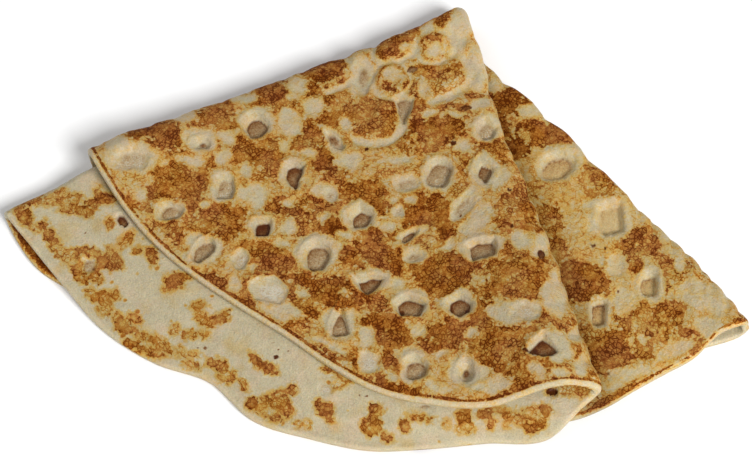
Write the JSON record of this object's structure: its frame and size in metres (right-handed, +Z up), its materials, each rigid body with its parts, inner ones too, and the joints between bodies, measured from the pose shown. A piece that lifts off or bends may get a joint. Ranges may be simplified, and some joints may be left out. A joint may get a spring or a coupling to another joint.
{
  "type": "folded pancake",
  "caption": "Thin round pancake folded in half and again into a four-layer wedge, browned and pitted on one side and pale on the other.",
  "frame": {"origin": "middle of the wedge's box in plan, on the surface that it lies on", "axes": "+Z up, -Y towards the open rims at the front, +X towards the lower pair's folded edge"},
  "size_m": [0.1691, 0.1126, 0.0145],
  "materials": {
    "pancake": "matt, browned in patches on the outer side"
  },
  "bodies": {
    "root": {"folded_pancake": "pancake"}
  },
  "joints": []
}
